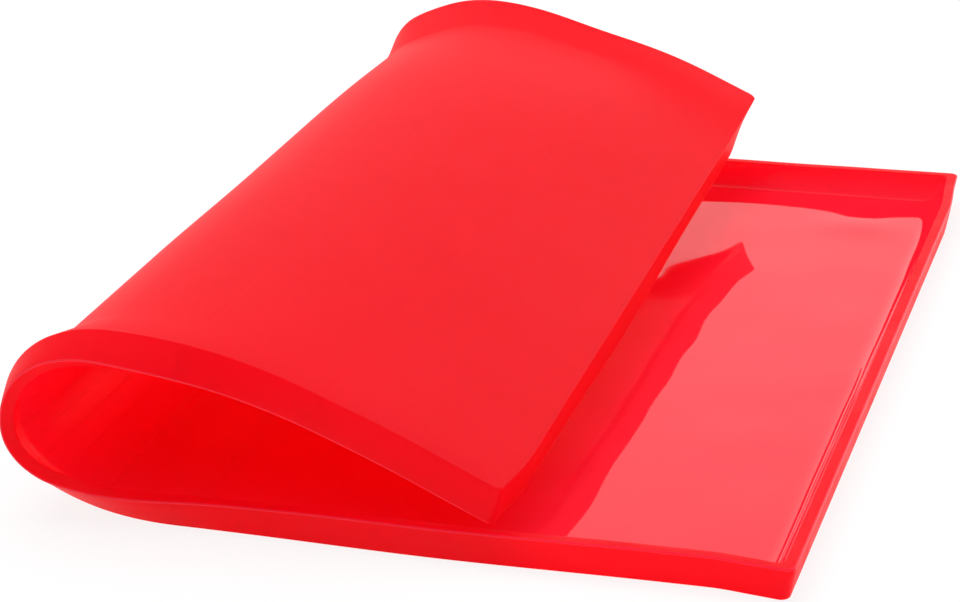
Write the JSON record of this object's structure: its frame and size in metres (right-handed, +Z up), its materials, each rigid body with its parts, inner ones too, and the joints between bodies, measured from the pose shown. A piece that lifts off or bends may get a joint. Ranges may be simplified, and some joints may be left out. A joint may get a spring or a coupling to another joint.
{
  "type": "baking mat",
  "caption": "Rectangular silicone baking mat with a low raised rim, lying folded with one part curled up and over the other; it unfolds flat.",
  "frame": {"origin": "middle of the underside of the part that lies flat", "axes": "+Z up, +X along the mat from the bend towards the lying end, +Y across the mat along the folds"},
  "size_m": [0.2199, 0.3151, 0.0649],
  "materials": {
    "silicone": "satin"
  },
  "bodies": {
    "tray": {"tray_floor": "silicone", "tray_front_rim": "silicone", "tray_back_rim": "silicone", "tray_end_rim": "silicone"},
    "strip_01": {"bend_floor_01": "silicone", "bend_front_rim_01": "silicone", "bend_back_rim_01": "silicone"},
    "strip_02": {"bend_floor_02": "silicone", "bend_front_rim_02": "silicone", "bend_back_rim_02": "silicone"},
    "strip_03": {"bend_floor_03": "silicone", "bend_front_rim_03": "silicone", "bend_back_rim_03": "silicone"},
    "strip_04": {"bend_floor_04": "silicone", "bend_front_rim_04": "silicone", "bend_back_rim_04": "silicone"},
    "strip_05": {"bend_floor_05": "silicone", "bend_front_rim_05": "silicone", "bend_back_rim_05": "silicone"},
    "strip_06": {"bend_floor_06": "silicone", "bend_front_rim_06": "silicone", "bend_back_rim_06": "silicone"},
    "strip_07": {"bend_floor_07": "silicone", "bend_front_rim_07": "silicone", "bend_back_rim_07": "silicone"},
    "strip_08": {"bend_floor_08": "silicone", "bend_front_rim_08": "silicone", "bend_back_rim_08": "silicone"},
    "strip_09": {"bend_floor_09": "silicone", "bend_front_rim_09": "silicone", "bend_back_rim_09": "silicone"},
    "strip_10": {"bend_floor_10": "silicone", "bend_front_rim_10": "silicone", "bend_back_rim_10": "silicone"},
    "strip_11": {"bend_floor_11": "silicone", "bend_front_rim_11": "silicone", "bend_back_rim_11": "silicone"},
    "flap": {"flap_floor": "silicone", "flap_front_rim": "silicone", "flap_back_rim": "silicone", "flap_end_rim": "silicone"}
  },
  "joints": [
    {"name": "fold_01", "type": "hinge", "parent": "tray", "child": "strip_01", "pos_m": [-0.09125, 0, 0], "axis": [-0.0187, -0.9998, 0], "range_deg": [0, 17.06]},
    {"name": "fold_02", "type": "hinge", "parent": "strip_01", "child": "strip_02", "pos_m": [-0.10996, -0.00002, 0.00574], "axis": [-0.0122, -0.9999, -0.002], "range_deg": [0, 17.06]},
    {"name": "fold_03", "type": "hinge", "parent": "strip_02", "child": "strip_03", "pos_m": [-0.11829, -0.00005, 0.01138], "axis": [-0.0093, -0.9999, -0.004], "range_deg": [0, 17.06]},
    {"name": "fold_04", "type": "hinge", "parent": "strip_03", "child": "strip_04", "pos_m": [-0.1229, -0.00009, 0.01712], "axis": [-0.0076, -1, -0.006], "range_deg": [0, 17.06]},
    {"name": "fold_05", "type": "hinge", "parent": "strip_04", "child": "strip_05", "pos_m": [-0.1252, -0.00014, 0.02287], "axis": [-0.0068, -0.9999, -0.008], "range_deg": [0, 17.06]},
    {"name": "fold_06", "type": "hinge", "parent": "strip_05", "child": "strip_06", "pos_m": [-0.12566, -0.0002, 0.02851], "axis": [-0.0067, -0.9999, -0.01], "range_deg": [0, 17.06]},
    {"name": "fold_07", "type": "hinge", "parent": "strip_06", "child": "strip_07", "pos_m": [-0.12403, -0.0003, 0.03594], "axis": [-0.0074, -0.9999, -0.0134], "range_deg": [0, 17.06]},
    {"name": "fold_08", "type": "hinge", "parent": "strip_07", "child": "strip_08", "pos_m": [-0.11911, -0.00043, 0.04466], "axis": [-0.0101, -0.9998, -0.0181], "range_deg": [0, 17.06]},
    {"name": "fold_09", "type": "hinge", "parent": "strip_08", "child": "strip_09", "pos_m": [-0.11117, -0.00057, 0.0522], "axis": [-0.0143, -0.9997, -0.0221], "range_deg": [0, 17.06]},
    {"name": "fold_10", "type": "hinge", "parent": "strip_09", "child": "strip_10", "pos_m": [-0.0995, -0.00069, 0.058], "axis": [-0.0205, -0.9995, -0.0252], "range_deg": [0, 17.06]},
    {"name": "fold_11", "type": "hinge", "parent": "strip_10", "child": "strip_11", "pos_m": [-0.08196, -0.00077, 0.0609], "axis": [-0.0299, -0.9992, -0.0267], "range_deg": [0, 17.06]},
    {"name": "fold_12", "type": "hinge", "parent": "strip_11", "child": "flap", "pos_m": [-0.04764, -0.00065, 0.05628], "axis": [-0.0481, -0.9985, -0.0243], "range_deg": [0, 17.06]}
  ]
}
